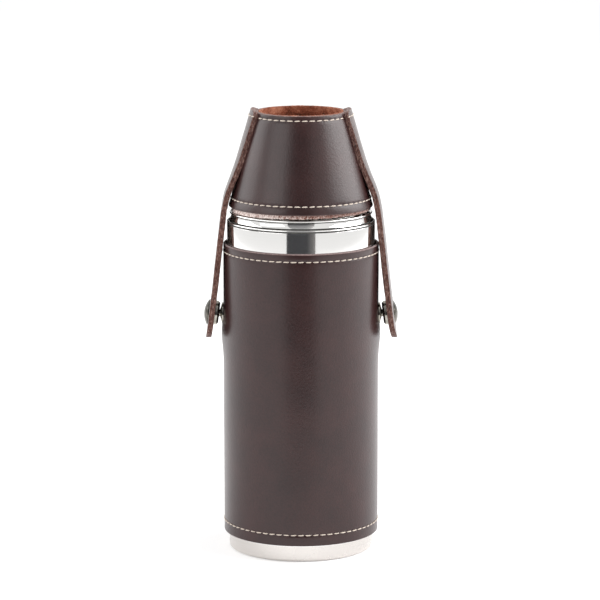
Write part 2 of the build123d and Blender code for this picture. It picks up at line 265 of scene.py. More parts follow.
def makeRubber():
    # moulded silicone seal: chalky off-white with a faint mottle
    rubber, shader = newMaterial("moulded_silicone", Roughness=0.55)
    cloud = addNode(rubber, "ShaderNodeTexNoise", None,
                    {"Scale": 1 / (2 * mm), "Detail": 3.0}, {"Vector": objectCoords(rubber)})
    tint = ramp(rubber, cloud.outputs["Fac"], (0.3, colour("#d8d4c8")), (0.7, colour("#e8e5dc")))
    connect(rubber, tint, shader, "Base Color")
    bump = addNode(rubber, "ShaderNodeBump", None, {"Strength": 0.2, "Distance": 0.05 * mm},
                   {"Height": cloud.outputs["Fac"]})
    connect(rubber, bump.outputs["Normal"], shader, "Normal")
    return rubber


hide = makeLeather("sprayed_cowhide_dark_brown", colour("#281313"), colour("#341b1a"), 0.07 * mm)
strapHide = makeLeather("sprayed_cowhide_strap", colour("#35201e"), colour("#4a342f"), 0.26 * mm, scuff=0.35)
suede = makeSuede()
rawEdge = makeCutEdge("raw_cut_hide", colour("#26120f"), colour("#5f3c34"), colour("#a2857a"))
# the lining's raw edge gets a painted highlight, paler towards -X
liningEdge = makeCutEdge("raw_cut_lining", colour("#3f221c"), colour("#84574a"), colour("#f2e4de"), 0.14)
burnished = makeCutEdge("burnished_edge", colour("#48322f"), colour("#7a6260"), colour("#9d8a87"))
fleshSide = makeCutEdge("napped_flesh_side", colour("#3f2a23"), colour("#664b3f"), colour("#8f7666"))
looseFibre = makeCutEdge("loose_hide_fibre", colour("#8a5f50"), colour("#cdb0a3"), colour("#f0e4dc"))
thread = makeThread()
polishedSteel = makeSteel("buffed_stainless_steel", colour("#eeedeb"), 0.07, 0.004 * mm)
satinSteel = makeSteel("satin_stainless_steel", colour("#d9d4d0"), 0.26, 0.008 * mm)
# the caps' plating is a darker copy of the nickel: painted dark reflection
shadedNickel = makePressing("plated_brass_painted_dark", colour("#46433d"), colour("#78746b"))
nickel = makePressing("nickel_plated_brass", colour("#8d8980"), colour("#bcb8ae"))
rubber = makeRubber()
grooveShade = makeGrooveShade()
print("materials made")


def rounded(corners, arcSteps=4):
    # corners are (radius from axis, height, corner radius), in order round a closed section
    outline = []
    for i, (x, z, size) in enumerate(corners):
        here = Vector((x, z))
        if size == 0:
            outline.append(here)
            continue
        before = (Vector(corners[i - 1][:2]) - here).normalized()
        after = (Vector(corners[(i + 1) % len(corners)][:2]) - here).normalized()
        half = before.angle(after) / 2
        centre = here + (before + after).normalized() * size / math.sin(half)
        first = here + before * size / math.tan(half) - centre
        last = here + after * size / math.tan(half) - centre
        for step in range(arcSteps + 1):
            arm = first.lerp(last, step / arcSteps)
            outline.append(centre + arm.normalized() * size)
    return outline


def divided(outline, longest):
    points = []
    for a, b in zip(outline, outline[1:] + outline[:1]):
        cuts = max(1, math.ceil((b - a).length / longest))
        points += [a.lerp(b, k / cuts) for k in range(cuts)]
    return points


def editing(piece, action="SELECT"):
    bpy.ops.object.select_all(action="DESELECT")
    bpy.context.view_layer.objects.active = piece
    piece.select_set(True)
    bpy.ops.object.mode_set(mode="EDIT")
    bpy.ops.mesh.select_mode(type="VERT")
    bpy.ops.mesh.select_all(action=action)


def doneEditing(piece, smoothAngle=40):
    bpy.ops.object.mode_set(mode="OBJECT")
    bpy.ops.object.shade_smooth_by_angle(angle=math.radians(smoothAngle))


def lathe(name, section, steps, gap=0.0, facing=90.0, smoothAngle=40):
    # a ring of points is laid along the section and spun about the flask's axis, open by gap degrees
    start = math.radians(facing + gap / 2)
    bpy.ops.object.select_all(action="DESELECT")
    bpy.ops.mesh.primitive_circle_add(vertices=len(section), radius=mm)
    piece = bpy.context.object
    piece.name = piece.data.name = name
    for point, (x, z) in zip(piece.data.vertices, section):
        point.co = (x * math.cos(start), x * math.sin(start), z)
    editing(piece)
    bpy.ops.mesh.spin(steps=steps, angle=math.radians(360 - gap), center=(0, 0, 0), axis=(0, 0, 1))
    bpy.ops.mesh.select_all(action="SELECT")
    bpy.ops.mesh.remove_doubles(threshold=0.002 * mm)
    if gap:
        bpy.ops.mesh.select_all(action="DESELECT")
        bpy.ops.mesh.select_non_manifold(extend=False)
        bpy.ops.mesh.fill_holes(sides=0)
        bpy.ops.mesh.select_all(action="SELECT")
    bpy.ops.mesh.normals_make_consistent(inside=False)
    doneEditing(piece, smoothAngle)
    return piece


def applyModifier(piece, kind, **settings):
    modifier = piece.modifiers.new(kind.lower(), kind)
    for key, value in settings.items():
        setattr(modifier, key, value)
    bpy.ops.object.select_all(action="DESELECT")
    piece.select_set(True)
    bpy.context.view_layer.objects.active = piece
    bpy.ops.object.modifier_apply(modifier=modifier.name)


def paint(piece, *materials):
    piece.data.materials.clear()
    for material in materials:
        piece.data.materials.append(material)


def unevenHide(piece, depth, size, seed):
    # leather never lies quite true
    for point in piece.data.vertices:
        out = Vector((point.co.x, point.co.y, 0)).normalized()
        point.co += out * depth * noise.noise(point.co / size + Vector((seed, 0, 0)))


def handOver(piece, body, slotName, *nodes):
    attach(piece, body)
    if nodes:
        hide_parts(*nodes)


stitchLook = {
    "pitch": 3.0 * mm, "length": 2.5 * mm, "width": 0.51 * mm, "height": 0.42 * mm, "dive": 0.36 * mm,
    "plyBulge": 0.13, "twist": 3.2, "proud": 0.3,
}


def makeStitch():
    # one stitch along X, standing on Z = 0, its ends diving into their holes
    look = stitchLook
    bpy.ops.object.select_all(action="DESELECT")
    bpy.ops.mesh.primitive_uv_sphere_add(segments=12, ring_count=12, radius=0.5 * mm)
    stitch = bpy.context.object
    editing(stitch)
    bpy.ops.transform.resize(value=(look["height"] / mm, look["width"] / mm, look["length"] / mm))
    bpy.ops.object.mode_set(mode="OBJECT")
    for point in stitch.data.vertices:
        x, y, z = point.co
        along = 2 * z / look["length"]
        turn = math.atan2(y, x)
        ply = 1 + look["plyBulge"] * math.cos(2 * (turn - look["twist"] * along))
        point.co = (z, y * ply, x * ply + look["height"] * look["proud"] - look["dive"] * along ** 4)
    for face in stitch.data.polygons:
        face.use_smooth = True
    return stitch


def repeatPiece(name, pattern, places, material):
    # each place is a matrix that stands one copy of the pattern where it belongs
    bpy.ops.object.select_all(action="DESELECT")
    copies = []
    for place in places:
        mesh = pattern.data.copy()
        mesh.transform(place)
        copy = bpy.data.objects.new(name, mesh)
        bpy.context.collection.objects.link(copy)
        copy.select_set(True)
        copies.append(copy)
    bpy.context.view_layer.objects.active = copies[0]
    bpy.ops.object.join()
    joined = bpy.context.object
    joined.name = joined.data.name = name
    paint(joined, material)
    return joined


def sewRow(name, stitch, places):
    # hand-fed leather: no two stitches quite alike
    places = [place @ Matrix.Rotation(random.uniform(-0.02, 0.10), 4, "Z")
              @ Matrix.Scale(random.uniform(0.94, 1.05), 4) for place in places]
    return repeatPiece(name, stitch, places, thread)


def standing(position, along, out):
    side = out.cross(along).normalized()
    return Matrix.Translation(position) @ Matrix((along, side, out)).transposed().to_4x4()


def ringPlaces(radiusAt, height, count, lean=0.0, raised=None):
    places = []
    for i in range(count):
        angle = math.radians((i + 0.5) * 360 / count)
        flat = Vector((math.cos(angle), math.sin(angle), 0))
        along = Vector((-math.sin(angle), math.cos(angle), 0))
        out = flat * math.cos(lean) + Vector((0, 0, math.sin(lean)))
        highlightLift = raised(angle) if raised else 0.0
        places.append(standing(flat * radiusAt + Vector((0, 0, height)) + out * highlightLift, along, out))
    return places


def seamPlaces(low, high, across, radiusAt, lean=0.0):
    count = math.floor((high - low) / stitchLook["pitch"])
    step = (high - low) / count
    out = Vector((0, math.cos(lean), math.sin(lean)))
    along = Vector((0, -math.sin(lean), math.cos(lean)))
    places = []
    for i in range(count):
        z = low + (i + 0.5) * step
        for x in (-across, across):
            places.append(standing(Vector((x, math.sqrt(radiusAt(z) ** 2 - x * x), z)), along, out))
    return places


def rowHeight(node):
    low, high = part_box(node)
    return (low[2] + high[2]) / 2


def pullHoles(piece, radiusAt, height, count, depth=0.16 * mm, spread=0.55 * mm):
    # the thread draws the leather in along its row, deepest at the needle holes
    for point in piece.data.vertices:
        x, y, z = point.co
        radius = math.hypot(x, y)
        if abs(z - height) > 3 * spread or radius < radiusAt - outerSkin:
            continue
        turn = math.atan2(y, x) * count / (2 * math.pi)
        fromHole = abs(turn - round(turn)) * 2 * math.pi * radius / count
        near = math.exp(-(fromHole / spread) ** 2)
        row = math.exp(-((z - height) / spread) ** 2)
        draw = depth * row * (0.45 + 0.55 * near)
        point.co.x -= x / radius * draw
        point.co.y -= y / radius * draw


def makeFibre():
    # a loose strand, thick at its root on Z = 0 and bent over at its tip
    fibre = {"length": 0.8 * mm, "root": 0.055 * mm, "tip": 0.012 * mm, "bend": 0.22 * mm}
    bpy.ops.object.select_all(action="DESELECT")
    bpy.ops.mesh.primitive_cone_add(vertices=3, radius1=fibre["root"], radius2=fibre["tip"],
                                    depth=fibre["length"], location=(0, 0, fibre["length"] / 2))
    strand = bpy.context.object
    bpy.ops.object.transform_apply(location=True, rotation=False, scale=False)
    editing(strand)
    bpy.ops.mesh.bisect(plane_co=(0, 0, fibre["length"] / 2), plane_no=(0, 0, 1))
    bpy.ops.object.mode_set(mode="OBJECT")
    for point in strand.data.vertices:
        point.co.x += fibre["bend"] * (point.co.z / fibre["length"]) ** 2
        point.co.z *= 1 - 0.2 * (point.co.z / fibre["length"]) ** 2
    return strand


def frayPlaces(count, radius, height, pitchFrom, pitchTo):
    # strands round an edge, each leaning out of level by an angle between the two pitches
    places = []
    for i in range(count):
        angle = (i + random.uniform(-0.5, 0.5)) * 2 * math.pi / count
        lean = math.radians(random.uniform(pitchFrom, pitchTo))
        spot = Vector((radius() * math.cos(angle), radius() * math.sin(angle), height(angle)))
        turn = Matrix.Rotation(angle, 4, "Z") @ Matrix.Rotation(math.pi / 2 - lean, 4, "Y")
        spin = Matrix.Rotation(random.uniform(0, 2 * math.pi), 4, "Z")
        places.append(Matrix.Translation(spot) @ turn @ spin @ Matrix.Scale(random.uniform(0.45, 1.15), 4))
    return places


stitch = makeStitch()
fibre = makeFibre()


coverLow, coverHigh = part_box("cover_leather")
coverLook = {"topRadius": 18.85 * mm, "hide": 1.6 * mm, "lining": 0.6 * mm}
coverSlope = (coverHigh[0] - coverLook["topRadius"]) / (coverHigh[2] - coverLow[2])
coverLean = math.atan(coverSlope)


def coverRadius(z):
    return coverHigh[0] - (z - coverLow[2]) * coverSlope


def makeFlask():
    canLow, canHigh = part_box("flask_can")
    look = {"wall": 0.6 * mm, "rim": 0.45 * mm, "hem": 0.1 * mm, "steps": 288, "crevice": 0.3 * mm}
    outer, wall, rim = canHigh[0], look["wall"], look["rim"]
    low, high = canLow[2], canHigh[2]
    section = rounded([
        (outer - wall, low, 0), (outer, low, look["hem"]),
        (outer, high, rim), (outer - wall, high, 0),
    ])
    can = lathe("can", divided(section, 20 * mm), look["steps"])
    paint(can, polishedSteel, grooveShade)
    # painted shade: the faces in the groove at the can's rim are nearly black
    for face in can.data.polygons:
        if face.center.z > high - look["crevice"]:
            face.material_index = 1
    handOver(can, "flask", "polished_steel", "flask_can")

    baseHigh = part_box("flask_base")[1]
    foot = {"ring": 2.2 * mm, "bend": 1.1 * mm, "recess": 2.6 * mm, "riser": 0.5 * mm, "hem": 0.4 * mm}
    outer, high = baseHigh[0], baseHigh[2]
    ringOut = outer - foot["bend"]
    ringIn = ringOut - foot["ring"]
    section = rounded([
        (outer, 0, foot["bend"]), (outer, high, 0), (outer - wall, high, 0),
        (outer - wall, wall, foot["bend"] - wall), (ringIn, wall, foot["hem"] - 0.1 * mm),
        (ringIn, foot["recess"] + wall, foot["riser"]), (axisGap, foot["recess"] + wall, 0),
        (axisGap, foot["recess"], 0), (ringIn - wall, foot["recess"], foot["riser"]),
        (ringIn - wall, 0, foot["hem"]),
    ])
    base = lathe("foot", section, look["steps"])
    paint(base, satinSteel)
    handOver(base, "flask", "satin_steel", "flask_base")


def makeShoulder():
    low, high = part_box("flask_shoulder")
    look = {"neck": 10.5 * mm, "bead": 0.9 * mm, "ledge": 28.3 * mm, "wall": 0.8 * mm, "skirtIn": 0.6 * mm,
            "ring": 0.36 * mm, "ringOut": 0.5 * mm, "groove": 0.48 * mm, "undercut": 0.2 * mm,
            "lip": 0.08 * mm, "sag": 0.15 * mm, "crevice": 0.28 * mm, "cuts": 16,
            "flankOverLedge": 0.25 * mm, "tuck": 0.15 * mm, "shelf": 1.6 * mm}
    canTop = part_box("flask_can")[1][2]
    rim, top, ledge, half, ring = high[0], high[2], look["ledge"], look["bead"] / 2, look["ring"]
    beadTop = canTop + look["bead"]
    skirt, undercut = rim - look["skirtIn"], look["undercut"]

    def roll(centreR, centreZ, radius):
        # half a turn of rolled bead, from its underside to its top
        turns = (math.radians(d) for d in range(-90, 91, 15))
        return [(centreR + radius * math.cos(a), centreZ + radius * math.sin(a), 0) for a in turns]

    flankOut, flankIn = rim - 2.1 * half, ledge + look["flankOverLedge"]
    flankLow, flankHigh = beadTop + look["groove"], top - 2 * ring - look["groove"] * 0.8
    hollow = []
    for k in range(look["cuts"] + 1):
        t = k / look["cuts"]
        sag = 4 * t * (1 - t) * look["sag"]
        x = flankOut + (flankIn - flankOut) * t - sag
        z = flankLow + (flankHigh - flankLow) * t - sag * 0.3
        hollow.append((x, z, 0))
    section = rounded([
        (skirt - look["wall"], low[2], 0), (skirt, low[2], 0), (skirt, canTop - look["tuck"], 0),
        *roll(rim - half, canTop + half, half),
        (flankOut - undercut, beadTop, 0), (flankOut - undercut, flankLow - look["lip"], 0), *hollow,
        (flankIn - undercut, flankHigh + look["lip"], 0), (flankIn - undercut, top - 2 * ring, 0),
        *roll(ledge + look["ringOut"], top - ring, ring),
        (look["neck"], top, 0), (look["neck"], top - look["wall"], 0),
        (ledge - look["shelf"], top - look["wall"], 0), (skirt - look["wall"], canTop, 0),
    ])
    shoulder = lathe("shoulder", section, 288, smoothAngle=35)
    paint(shoulder, polishedSteel, grooveShade)
    # painted shade: faces under and over the bead and under the ring are nearly black
    for face in shoulder.data.polygons:
        z, radius = face.center.z, math.hypot(face.center.x, face.center.y)
        underBead = canTop - undercut < z < canTop + look["crevice"]
        overBead = beadTop - 0.01 * mm < z < flankLow and radius < rim - half
        underRing = flankHigh < z < top - 2 * ring + look["lip"] and radius > ledge - 0.1 * mm
        if underBead or overBead or underRing:
            face.material_index = 1
    handOver(shoulder, "flask", "polished_steel", "flask_shoulder")


def makeCups():
    look = {"wall": 0.5 * mm, "bend": 2.0 * mm, "bead": 0.4 * mm}
    for number in range(1, 5):
        node = f"cup_{number}"
        low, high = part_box(node)
        rim = high[0] - look["bead"]
        rimZ, top = low[2] + look["bead"], high[2]
        crown = rim - (top - rimZ) * coverSlope
        wall, bead = look["wall"] / math.cos(coverLean), look["bead"]
        curl = [(rim + bead * math.cos(a), rimZ + bead * math.sin(a), 0)
                for a in (math.radians(d) for d in range(-180, 81, 26))]
        section = rounded([
            *curl, (crown, top, look["bend"]), (axisGap, top, 0),
            (axisGap, top - look["wall"], 0),
            (crown - wall, top - look["wall"], look["bend"] - look["wall"]),
            (rim - wall, rimZ, 0),
        ], arcSteps=6)
        cup = lathe(f"cup{number}", section, 192)
        paint(cup, polishedSteel)
        handOver(cup, f"cup_{number}", "polished_steel", node)


makeFlask()
makeShoulder()
makeCups()
for node, finish in (("flask_neck", polishedSteel), ("screw_cap", polishedSteel), ("cap_liner", rubber)):
    paint(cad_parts[node], finish)
print("steel done")


seamApart = 2.4 * mm       # from the butt seam to each of its stitch rows
easedEdge = 0.22 * mm      # width of the bevel on the hide's square edges
cutBand = 0.25 * mm        # how much of a cut edge shows raw


def makeSleeve():
    low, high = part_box("sleeve_leather")
    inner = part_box("sleeve_lining")[1][0]
    outer = high[0]
    look = {"steps": 528, "edge": 0.42 * mm, "channel": 0.10 * mm, "channelWidth": 0.9 * mm, "seam": 0.55,
            "bulge": 0.75 * mm, "bulgeDrop": 8.0 * mm, "bulgeSize": 6.5 * mm, "grid": 2.4 * mm,
            "innerFoot": 0.1 * mm, "innerMouth": 0.25 * mm, "seamSink": 0.05 * mm,
            "liningUp": 0.3 * mm, "liningShort": 0.8 * mm, "liningEdge": 0.1 * mm}
    rows = [rowHeight("sleeve_stitches_bottom"), rowHeight("sleeve_stitches_top")]
    face = []
    for z in rows:
        for shift in (-1.6, -1.0, -0.6, -0.3, 0.0, 0.3, 0.6, 1.0, 1.6):
            dip = look["channel"] * math.exp(-(shift * mm / look["channelWidth"]) ** 2)
            face.append((outer - dip, z + shift * mm, 0))
    section = rounded([(inner, low[2], look["innerFoot"]), (outer, low[2], look["edge"]), *face,
                       (outer, high[2], look["edge"]), (inner, high[2], look["innerMouth"])])
    sleeve = lathe("sleeve", divided(section, look["grid"]), look["steps"], gap=look["seam"])
    applyModifier(sleeve, "BEVEL", width=easedEdge, segments=2, limit_method="ANGLE",
                  angle_limit=math.radians(60))
    count = 2 * round(math.pi * outer / stitchLook["pitch"])
    for z in rows:
        pullHoles(sleeve, outer, z, count)
    studZ = rowHeight("snap_right_stud")
    for point in sleeve.data.vertices:
        # each snap drags the leather out a little below its stud
        x, y, z = point.co
        if math.hypot(x, y) < outer - outerSkin:
            continue
        away = math.hypot(y, z - (studZ - look["bulgeDrop"]))
        drag = math.exp(-(away / look["bulgeSize"]) ** 2) * (abs(x) > outer / 2)
        point.co.x += math.copysign(look["bulge"], x) * drag
    unevenHide(sleeve, depth=0.10 * mm, size=22 * mm, seed=3.0)
    paint(sleeve, hide, burnished)
    for facet in sleeve.data.polygons:
        z = facet.center.z
        if z > high[2] - cutBand or z < low[2] + cutBand * 0.8:
            facet.material_index = 1
    handOver(sleeve, "flask", "sleeve_leather", "sleeve_leather")

    low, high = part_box("sleeve_lining")
    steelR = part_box("flask_can")[1][0]
    liningIn, bottom, top = steelR + layerGap, low[2] + look["liningUp"], high[2] - look["liningShort"]
    section = rounded([(liningIn, bottom, 0), (inner, bottom, look["liningEdge"]),
                       (inner, top, look["liningEdge"]), (liningIn, top, 0)])
    lining = lathe("sleeveLining", divided(section, 10 * mm), 192)
    paint(lining, suede)
    handOver(lining, "flask", "suede_lining", "sleeve_lining")

    for name, z, node in (
        ("sleeveStitchesTop", rows[1], "sleeve_stitches_top"),
        ("sleeveStitchesBottom", rows[0], "sleeve_stitches_bottom"),
    ):
        row = sewRow(name, stitch, ringPlaces(outer - look["channel"], z, count))
        handOver(row, "flask", "thread", node)
    seamLow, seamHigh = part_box("sleeve_stitches_seam")
    seam = sewRow("sleeveStitchesSeam", stitch,
                  seamPlaces(seamLow[2], seamHigh[2], seamApart, lambda z: outer - look["seamSink"]))
    handOver(seam, "flask", "thread", "sleeve_stitches_seam")


makeSleeve()
print("sleeve done")


strapLook = {
    "width": 16.0 * mm, "faceThick": 1.15 * mm, "backThick": 1.1 * mm,
    "topCorner": 2.5 * mm, "columns": 22, "rowPitch": 0.9 * mm, "flatBelow": 141 * mm, "wrapOver": 20 * mm,
    "crown": {"left": 0.3 * mm, "right": 0.9 * mm}, "wear": 0.55 * mm, "eased": 0.1 * mm,
    "rowClear": 0.4 * mm, "tip": 0.5 * mm, "bowIn": 1.5 * mm, "bowLeast": 10 * mm, "backShrink": 0.12 * mm,
    # how far its cut edges and its faces stray, and the size of the noise they stray by
    "roughBand": 0.6 * mm, "roughSize": 0.9 * mm, "roughAcross": 0.16 * mm, "roughOut": 0.14 * mm,
    "waver": 0.06 * mm, "waverSize": 7 * mm,
    # outer face in the plane of the snaps, from the top down: distance from the axis, height
    "route": [(20.5, 181.8), (23.05, 173.0), (26.0, 163.0), (28.25, 156.0), (30.05, 151.0), (31.3, 147.0),
              (32.1, 142.5), (32.85, 137.0), (34.4, 124.0), (36.1, 109.0), (37.44, 98.3), (38.75, 87.6)],
}


def makeCover():
    look = {"steps": 480, "edge": 0.42 * mm, "channel": 0.10 * mm, "channelWidth": 0.9 * mm, "seam": 0.6,
            "innerFoot": 0.1 * mm, "innerMouth": 0.25 * mm, "grid": 2.2 * mm, "underStrap": 0.3 * mm,
            # the suede lining: its height over the hide, its raw edges and its nap
            "liningEdge": 0.15 * mm, "liningGrid": 0.9 * mm, "liningOver": 0.1 * mm, "liftRight": 0.9 * mm,
            "ragged": 0.5 * mm, "raggedBand": 1.6 * mm, "raggedTop": 0.3 * mm, "raggedTopBand": 1.2 * mm,
            "tuft": 0.8 * mm, "nap": 0.12 * mm, "napSize": 1.1 * mm, "paleBand": 0.6 * mm,
            # the loose fibres: how many, how deep in the lining and how far from its edge they start
            "strandsBelow": 520, "depthBelow": 0.5 * mm, "startBelow": 0.15 * mm,
            "strandsAbove": 420, "depthAbove": 0.9 * mm, "startAbove": 0.3 * mm}
    low, high = coverLow[2], coverHigh[2]
    hideWall = coverLook["hide"] / math.cos(coverLean)
    bothWalls = (coverLook["hide"] + coverLook["lining"]) / math.cos(coverLean)
    rows = [rowHeight("cover_stitches_bottom"), rowHeight("cover_stitches_top")]
    face = []
    for z in rows:
        for shift in (-1.4, -1.0, -0.6, -0.3, 0.0, 0.3, 0.6, 1.0, 1.4):
            dip = look["channel"] * math.exp(-(shift * mm / look["channelWidth"]) ** 2)
            face.append((coverRadius(z + shift * mm) - dip, z + shift * mm, 0))
    section = rounded([
        (coverRadius(low) - hideWall, low, look["innerFoot"]), (coverRadius(low), low, look["edge"]), *face,
        (coverRadius(high), high, look["edge"]), (coverRadius(high) - hideWall, high, look["innerMouth"]),
    ])
    cover = lathe("cover", divided(section, look["grid"]), look["steps"], gap=look["seam"])
    applyModifier(cover, "BEVEL", width=easedEdge, segments=2, limit_method="ANGLE",
                  angle_limit=math.radians(60))
    counts = [2 * round(math.pi * coverRadius(z) / stitchLook["pitch"]) for z in rows]
    for z, count in zip(rows, counts):
        pullHoles(cover, coverRadius(z), z, count)
    unevenHide(cover, depth=0.14 * mm, size=17 * mm, seed=9.0)
    paint(cover, hide, rawEdge)
    for facet in cover.data.polygons:
        z = facet.center.z
        if z > high - cutBand or z < low + cutBand * 0.8:
            facet.material_index = 1
    handOver(cover, "cover", "sleeve_leather", "cover_leather")

    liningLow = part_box("cover_lining")[0][2]
    section = rounded([
        (coverRadius(liningLow) - bothWalls, liningLow, look["liningEdge"]),
        (coverRadius(liningLow) - hideWall - layerGap, liningLow, look["liningEdge"]),
        (coverRadius(high) - hideWall - layerGap, high + look["liningOver"], look["liningEdge"]),
        (coverRadius(high) - bothWalls, high + look["liningOver"], look["liningEdge"]),
    ])
    lining = lathe("coverLining", divided(section, look["liningGrid"]), look["steps"])
    for point in lining.data.vertices:
        # the lining's edges are cut raw, and the lower one frays
        x, y, z = point.co
        nearTop = max(0.0, 1 - (high - z) / look["raggedTopBand"])
        tuft = noise.noise(Vector((x, y, 40 * mm)) / look["tuft"])
        point.co.z += min(nearTop, 1.0) * look["raggedTop"] * tuft
        near = max(0.0, 1 - (z - liningLow) / look["raggedBand"])
        point.co.z += near * look["ragged"] * noise.noise(Vector((x, y, 0)) / look["tuft"])
        point.co.z += near * look["liftRight"] * (0.5 + 0.5 * x / coverRadius(liningLow))
        out = Vector((x, y, 0)).normalized()
        point.co += out * look["nap"] * noise.noise(point.co / look["napSize"])
    paint(lining, suede, liningEdge)
    for facet in lining.data.polygons:
        if facet.center.z < coverLow[2] + look["paleBand"]:
            facet.material_index = 1
    handOver(lining, "cover", "suede_lining", "cover_lining")

    def lowEdge(angle):
        return liningLow + look["liftRight"] * (0.5 + 0.5 * math.cos(angle)) + look["startBelow"]

    outside = coverRadius(liningLow) - hideWall
    places = frayPlaces(look["strandsBelow"], lambda: outside - random.uniform(0, look["depthBelow"]),
                        lowEdge, -75, 0)
    fray = repeatPiece("coverFrayBottom", fibre, places, looseFibre)
    handOver(fray, "cover", "suede_lining")
    inside = coverRadius(high) - bothWalls
    places = frayPlaces(look["strandsAbove"], lambda: inside + random.uniform(0, look["depthAbove"]),
                        lambda angle: high - look["startAbove"], 60, 150)
    fray = repeatPiece("coverFrayTop", fibre, places, looseFibre)
    handOver(fray, "cover", "suede_lining")

    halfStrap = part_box("strap_right_sewn_face")[1][1]
    (lowX, lowZ), (highX, highZ) = strapLook["route"][1], strapLook["route"][0]
    strapFace = (lowX + (highX - lowX) * (rows[1] / mm - lowZ) / (highZ - lowZ)) * mm

    def overStrap(angle):
        across = abs(coverRadius(rows[1]) * math.sin(angle))
        return strapFace - coverRadius(rows[1]) if across < halfStrap - look["underStrap"] else 0.0

    row = sewRow("coverStitchesTop", stitch,
                 ringPlaces(coverRadius(rows[1]) - look["channel"], rows[1], counts[1], coverLean, overStrap))
    handOver(row, "cover", "thread", "cover_stitches_top")
    row = sewRow("coverStitchesBottom", stitch,
                 ringPlaces(coverRadius(rows[0]) - look["channel"], rows[0], counts[0], coverLean))
    handOver(row, "cover", "thread", "cover_stitches_bottom")
    seamLow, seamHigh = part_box("cover_stitches_seam")
    seam = sewRow("coverStitchesSeam", stitch,
                  seamPlaces(seamLow[2], seamHigh[2], seamApart, coverRadius, coverLean))
    handOver(seam, "cover", "thread", "cover_stitches_seam")


makeCover()
print("cover done")


def smoothRoute(points):
    # a finely divided curve through the points, with the distance run at each division
    padded = [2 * points[0] - points[1], *points, 2 * points[-1] - points[-2]]
    curve = []
    for a, b, c, d in zip(padded, padded[1:], padded[2:], padded[3:]):
        for k in range(40):
            t = k / 40
            curve.append(0.5 * (2 * b + (c - a) * t + (2 * a - 5 * b + 4 * c - d) * t * t
                                + (3 * b - a - 3 * c + d) * t ** 3))
    curve.append(points[-1])
    runs = [0.0]
    for a, b in zip(curve, curve[1:]):
        runs.append(runs[-1] + (b - a).length)
    return curve, runs


def alongRoute(curve, runs, distance):
    i = min(max(bisect.bisect_left(runs, distance), 1), len(runs) - 1)
    t = (distance - runs[i - 1]) / (runs[i] - runs[i - 1])
    return curve[i - 1].lerp(curve[i], t), (curve[i] - curve[i - 1]).normalized()


def makePly(name, side, kind, depth, thickness, shrink):
    # one ply of a strap: a flat grid laid along the route, rounded at its ends, then given its thickness
    sign = 1 if side == "right" else -1
    look = strapLook
    curve, runs = smoothRoute([Vector((x * mm, z * mm)) for x, z in look["route"]])
    total = runs[-1] - shrink
    half = look["width"] / 2 - shrink
    endSteps, rowsTop = 16, 7
    middle = [k * look["rowPitch"] for k in range(1, int(total / look["rowPitch"]))]
    distances = [look["topCorner"] * (1 - math.cos(k / rowsTop * math.pi / 2)) for k in range(rowsTop + 1)]
    clear = look["rowClear"]
    distances += [d for d in middle if look["topCorner"] + clear < d < total - half - clear]
    distances += [total - half + half * math.sin(k / endSteps * math.pi / 2) for k in range(endSteps + 1)]
    columns = look["columns"]
    bpy.ops.object.select_all(action="DESELECT")
    bpy.ops.mesh.primitive_grid_add(x_subdivisions=columns, y_subdivisions=len(distances) - 1, size=2)
    ply = bpy.context.object
    ply.name = ply.data.name = name
    for i, point in enumerate(ply.data.vertices):
        row, column = divmod(i, columns + 1)
        distance = distances[row]
        width, left = half, total - distance
        if left < half:
            width = math.sqrt(max(half ** 2 - (half - left) ** 2, look["tip"] ** 2))
        if distance < look["topCorner"]:
            short = look["topCorner"] - distance
            width = half - look["topCorner"] + math.sqrt(look["topCorner"] ** 2 - short ** 2)
        across = width * (2 * column / columns - 1)
        place, run = alongRoute(curve, runs, max(distance, 0.0))
        inward = Vector((run.y, -run.x))
        spot = place + inward * depth
        wrap = min(max((place.y - look["flatBelow"]) / look["wrapOver"], 0.0), 1.0)
        bow = max(place.x - look["bowIn"], look["bowLeast"])
        drop = wrap * (bow - math.sqrt(bow ** 2 - across ** 2))
        crown = look["crown"][side] * (1 - wrap) * (1 - (across / half) ** 2)
        point.co = (sign * (spot.x - drop + crown), across * sign, spot.y)
    paint(ply, strapHide, rawEdge, fleshSide)
    applyModifier(ply, "SOLIDIFY", thickness=thickness, offset=-1.0, use_even_offset=True,
                  material_offset_rim=1)
    editing(ply)
    bpy.ops.mesh.normals_make_consistent(inside=False)
    bpy.ops.object.mode_set(mode="OBJECT")
    # the outward corners are worn round, the corners where the plies meet only eased
    rows = len(distances)
    border = [i for i in range(rows * (columns + 1))
              if i % (columns + 1) in (0, columns) or i < columns + 1 or i >= (rows - 1) * (columns + 1)]
    skin = 0 if kind == "face" else rows * (columns + 1)
    wornAndLit = ply.vertex_groups.new(name="wornAndLit")
    wornAndLit.add([skin + i for i in border], 1.0, "REPLACE")
    applyModifier(ply, "BEVEL", width=look["wear"], segments=4, limit_method="VGROUP", vertex_group="wornAndLit")
    applyModifier(ply, "BEVEL", width=look["eased"], segments=2, limit_method="ANGLE",
                  angle_limit=math.radians(50))
    for point in ply.data.vertices:
        # a cut edge is never quite even
        x, y, z = point.co
        if abs(y) > half - look["roughBand"]:
            ragged = Vector((x, y, z)) / look["roughSize"] + Vector((depth / mm * 9, 0, 0))
            point.co.y += look["roughAcross"] * noise.noise(ragged)
            point.co.x += look["roughOut"] * noise.noise(ragged + Vector((0, 31, 0)))
        point.co.x += look["waver"] * noise.noise(Vector((sign * x, y, z)) / look["waverSize"])
    for face in ply.data.polygons:
        face.use_smooth = True
        if kind == "backing" and face.normal.x * sign < -0.5:
            face.material_index = 2
    return ply


